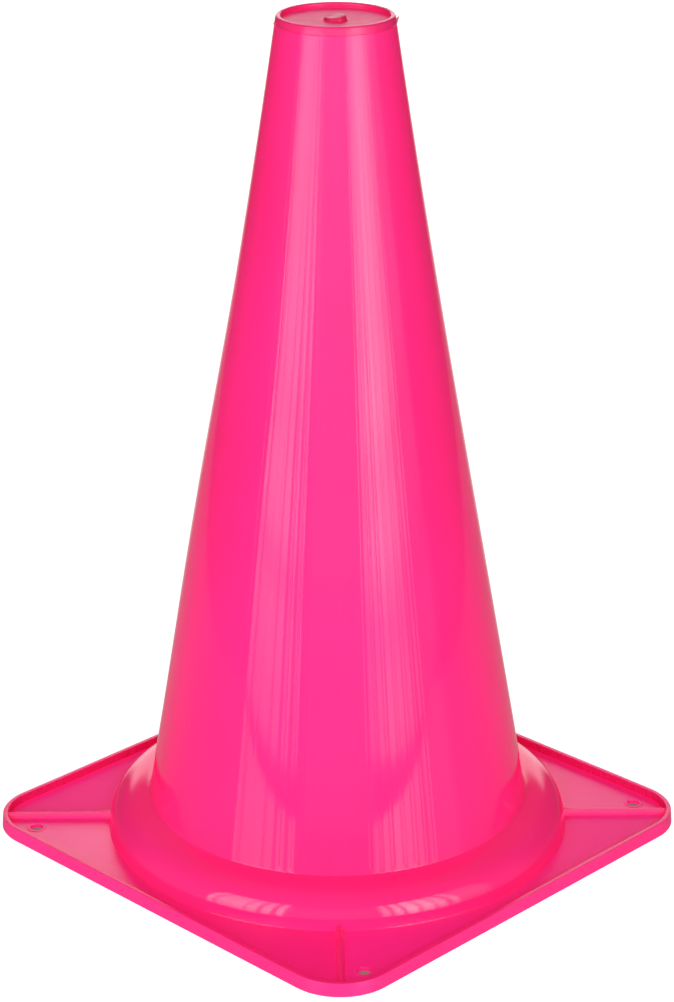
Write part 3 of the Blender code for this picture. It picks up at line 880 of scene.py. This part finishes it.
def makeFloor():
    half = studio["floorSize"] / 2
    mesh = bpy.data.meshes.new("floor")
    mesh.from_pydata([(-half, -half, 0), (half, -half, 0), (half, half, 0), (-half, half, 0)], [], [(0, 1, 2, 3)])
    mesh.transform(Matrix.Translation((0, 0, -0.0002)))
    floor = bpy.data.objects.new("floor", mesh)
    bpy.context.scene.collection.objects.link(floor)
    material = bpy.data.materials.new("polishedWhiteTable")
    material.use_nodes = True
    tree = material.node_tree
    tree.nodes.clear()
    coords = addNode(tree, "ShaderNodeTexCoord").outputs["Object"]
    place = studioDirection(tree, coords)
    spot = addNode(tree, "ShaderNodeSeparateXYZ", [coords]).outputs
    path = addNode(tree, "ShaderNodeLightPath").outputs
    known = {"aside": place["X"], "ahead": place["Y"], "x": spot["X"], "y": spot["Y"],
             "fromAxis": addNode(tree, "ShaderNodeVectorMath", [coords], operation="LENGTH").outputs["Value"],
             "isGlossyRay": path["Is Glossy Ray"], "isTransmissionRay": path["Is Transmission Ray"],
             "isShadowRay": path["Is Shadow Ray"]}
    for name, along, (start, end, before, after) in (("bounce", "fromAxis", studio["bounce"]),
                                                     ("tone", "ahead", studio["tableTone"])):
        known[name] = addNode(tree, "ShaderNodeMapRange", {
            "Value": known[along], "From Min": start, "From Max": end, "To Min": before, "To Max": after},
            interpolation_type="SMOOTHSTEP")
    for name, operation, *terms in (
        ("pastFront", "GREATER_THAN", "ahead", studio["tableFront"]),
        ("fromMiddle", "ABSOLUTE", "aside"),
        ("withinSides", "LESS_THAN", "fromMiddle", studio["tableHalfWidth"]),
        ("onTable", "MULTIPLY", "pastFront", "withinSides"),
        ("offTable", "SUBTRACT", 1.0, "onTable"),
        ("xSize", "ABSOLUTE", "x"),
        ("ySize", "ABSOLUTE", "y"),
        ("largerSize", "MAXIMUM", "xSize", "ySize"),
        ("bothSizes", "ADD", "xSize", "ySize"),
        ("inSquare", "LESS_THAN", "largerSize", studio["footprint"][0]),
        ("inCorners", "LESS_THAN", "bothSizes", studio["footprint"][1]),
        ("underBase", "MULTIPLY", "inSquare", "inCorners"),
        ("openTable", "SUBTRACT", 1.0, "underBase"),
        ("openBounce", "MULTIPLY", "bounce", "openTable"),
        ("mirrored", "MAXIMUM", "isGlossyRay", "isTransmissionRay"),
        ("mirroredOrShadow", "MAXIMUM", "mirrored", "isShadowRay"),
        ("gone", "MULTIPLY", "mirroredOrShadow", "offTable"),
    ):
        known[name] = addNode(tree, "ShaderNodeMath", [known.get(t, t) for t in terms], operation=operation)
    finish = {}
    for name, colour, strength in (("litTop", linear(studio["paper"]), known["openBounce"]),
                                   ("paintedShadeUnderBase", 3 * studio["paintedShadeUnderBase"][:1], studio["paintedShadeUnderBase"][1]),
                                   ("seenTop", 3 * studio["seenTop"][:1], studio["seenTop"][1])):
        paper = addNode(tree, "ShaderNodeBsdfDiffuse", {"Color": (*colour, 1)})
        glow = addNode(tree, "ShaderNodeEmission", {"Color": (1, 1, 1, 1), "Strength": strength})
        finish[name] = addNode(tree, "ShaderNodeAddShader", [paper, glow])
    ior, blur = studio["tablePolish"]
    fresnel = addNode(tree, "ShaderNodeFresnel", {"IOR": ior})
    finish["tone"] = addNode(tree, "ShaderNodeEmission", {"Color": (1, 1, 1, 1), "Strength": known["tone"]})
    finish["gloss"] = addNode(tree, "ShaderNodeBsdfGlossy", {"Color": (1, 1, 1, 1), "Roughness": blur})
    finish["clear"] = addNode(tree, "ShaderNodeBsdfTransparent")
    for name, share, first, second in (
        # white to the camera with the object's shadow on it, and painted shade, a dim grey, on the ground under the
        # base, seen down the peg holes
        ("cameraTop", known["underBase"], "seenTop", "paintedShadeUnderBase"),
        # the gloss of the cone mirrors a polished top, which mirrors the soft boxes in its turn
        ("polish", fresnel, "tone", "gloss"),
        ("lightTop", known["mirrored"], "litTop", "polish"),
        ("wholeTop", path["Is Camera Ray"], "lightTop", "cameraTop"),
        ("topFace", known["gone"], "wholeTop", "clear"),
    ):
        finish[name] = addNode(tree, "ShaderNodeMixShader", [share, finish[first], finish[second]])
    addNode(tree, "ShaderNodeOutputMaterial", {"Surface": finish["topFace"]})
    mesh.materials.append(material)


lamps = {
    # Two soft boxes. Each turn in the profile of their baffles has its azimuth in degrees from the camera's
    # side, left negative, and its radiance against white; upwards it has its level in metres and its share.
    "leftBox": {"distance": 1.6, "across": (
        (-61.9, 0.0), (-61.4, 3.9), (-59.4, 3.9), (-58.9, 1.2), (-57.0, 1.2), (-56.3, 3.3), (-50.0, 3.0), (-48.0, 3.5),
        (-43.9, 3.5), (-43.4, 1.4), (-42.3, 1.4), (-41.8, 3.4), (-37.4, 3.7), (-37.0, 0.6), (-35.0, 0.6), (-34.5, 3.7),
        (-30.8, 3.7), (-30.4, 0.5), (-28.1, 0.5), (-27.6, 3.9), (-24.9, 3.8), (-24.3, 0.0)), "upwards": (
        (-0.15, 0.42), (-0.09, 0.46), (-0.05, 0.60), (-0.01, 0.66), (0.03, 0.44), (0.07, 0.88), (0.12, 1.0),
        (0.18, 0.80), (0.24, 1.06), (0.34, 1.15), (0.42, 1.35), (0.66, 1.2), (0.68, 0.4), (0.70, 1.2), (1.04, 1.1),
        (1.06, 0.4), (1.08, 1.0), (1.50, 0.9))},
    "rightBox": {"distance": 1.6, "across": (
        (19.6, 0.0), (21.0, 2.2), (22.0, 3.4), (23.9, 3.0), (24.3, 0.4), (26.1, 0.4), (26.7, 4.8), (29.8, 4.4),
        (30.3, 0.7), (31.8, 0.7), (32.4, 5.2), (34.4, 5.7), (37.2, 5.5), (37.8, 1.2), (39.5, 1.6), (40.0, 4.9),
        (44.7, 4.5), (45.2, 1.6), (46.9, 1.6), (47.4, 4.0), (50.9, 3.7), (51.5, 0.6), (54.1, 0.6), (54.6, 3.1),
        (57.2, 3.0), (57.8, 0.6), (62.0, 0.7), (72.0, 0.7), (78.0, 0.0)), "upwards": (
        (-0.15, 0.41), (-0.10, 0.45), (-0.06, 0.43), (-0.02, 0.32), (0.01, 0.48), (0.04, 0.66), (0.08, 0.86),
        (0.11, 0.76), (0.13, 0.70), (0.16, 0.94), (0.20, 1.08), (0.25, 1.0), (0.32, 1.14), (0.45, 1.32), (0.66, 1.25),
        (0.68, 0.4), (0.70, 1.2), (1.04, 1.1), (1.06, 0.4), (1.08, 1.1), (1.50, 1.0))},
}
fills = {
    # large even lamps that only lift the colour and don't show in the gloss
    "frontFill": {"azimuth": -3, "distance": 2.4, "level": 0.90, "width": 2.0, "height": 1.4, "radiance": 5.2},
    "topFill": {"azimuth": 0, "distance": 0.02, "level": 1.60, "width": 1.1, "height": 1.1, "radiance": 0.25},
    "backFill": {"azimuth": 180, "distance": 2.4, "level": 0.70, "width": 2.0, "height": 1.4, "radiance": 2.2},
}
fillAim = 0.15  # level of the object's middle, which the fill lamps face


def standLamp(name, place, aim, width, height, radiance):
    light = bpy.data.lights.new(name, "AREA")
    light.shape = "RECTANGLE"
    light.size, light.size_y = width, height
    light.energy = math.pi * width * height * radiance
    stand = bpy.data.objects.new(name, light)
    bpy.context.scene.collection.objects.link(stand)
    stand.matrix_world = Matrix.Translation(place) @ aim.to_track_quat("-Z", "Y").to_matrix().to_4x4()
    stand.visible_camera = False
    return stand


def makeBox(name, box):
    # a soft box whose baffles show as bands, and which only the gloss sees
    across, upwards = box["across"], box["upwards"]
    middle = math.radians((across[0][0] + across[-1][0]) / 2)
    half = box["distance"] * math.tan(math.radians(across[-1][0] - across[0][0]) / 2)
    bottom, top = upwards[0][0], upwards[-1][0]
    place = turnedToStudio(math.sin(middle) * box["distance"], -math.cos(middle) * box["distance"], (bottom + top) / 2)
    stand = standLamp(name, place, Vector((-place.x, -place.y, 0)).normalized(), 2 * half, top - bottom, 1.0)
    stand.visible_diffuse = False
    stand.data.use_nodes = True
    tree = stand.data.node_tree
    tree.nodes.clear()
    parametric = addNode(tree, "ShaderNodeNewGeometry").outputs["Parametric"]
    spot = addNode(tree, "ShaderNodeSeparateXYZ", [parametric]).outputs
    turns = [(0.5 + box["distance"] * math.tan(math.radians(azimuth) - middle) / (2 * half), radiance)
             for azimuth, radiance in across]
    levels = [((level - bottom) / (top - bottom), share) for level, share in upwards]
    profiles = []
    for place, stops in ((spot["X"], turns), (spot["Y"], levels)):
        ramp = addNode(tree, "ShaderNodeValToRGB", {"Fac": place})
        while len(ramp.color_ramp.elements) < len(stops):
            ramp.color_ramp.elements.new(0.5)
        for element, (position, level) in zip(ramp.color_ramp.elements, sorted(stops)):
            element.position = position
            element.color = (level, level, level, 1)
        profiles.append(ramp.outputs["Color"])
    strength = addNode(tree, "ShaderNodeMath", [profiles[0], profiles[1]], operation="MULTIPLY")
    lit = addNode(tree, "ShaderNodeEmission", {"Color": (1, 1, 1, 1), "Strength": strength})
    addNode(tree, "ShaderNodeOutputLight", {"Surface": lit})


def makeFill(name, fill):
    turn = math.radians(fill["azimuth"])
    place = turnedToStudio(math.sin(turn) * fill["distance"], -math.cos(turn) * fill["distance"], fill["level"])
    aim = (Vector((0, 0, fillAim)) - place).normalized()
    stand = standLamp(name, place, aim, fill["width"], fill["height"], fill["radiance"])
    stand.visible_glossy = False


def makeCamera():
    shot = {"distance": 1.2006, "height": 0.6423, "side": 0.00017, "pitch": 0.3816, "roll": -0.0022, "lens": 104.12}
    data = bpy.data.cameras.new("photographView")
    data.sensor_width = 36
    data.lens = shot["lens"]
    data.clip_start, data.clip_end = 0.05, 60
    camera = bpy.data.objects.new("photographView", data)
    bpy.context.scene.collection.objects.link(camera)
    forward = Vector((0, math.cos(shot["pitch"]), -math.sin(shot["pitch"])))
    level = Vector((1, 0, 0))
    right = math.cos(shot["roll"]) * level + math.sin(shot["roll"]) * level.cross(forward)
    up = right.cross(forward)
    axes = Matrix((right, up, -forward)).transposed().to_4x4()
    stand = Matrix.Translation((shot["side"], -shot["distance"], shot["height"]))
    camera.matrix_world = Matrix.Rotation(cameraTurn, 4, "Z") @ stand @ axes
    bpy.context.scene.camera = camera


makeWorld()
makeFloor()
for lampName, box in lamps.items():
    makeBox(lampName, box)
for lampName, fill in fills.items():
    makeFill(lampName, fill)
makeCamera()
bpy.context.scene.view_settings.view_transform = "Standard"
print("studio made")
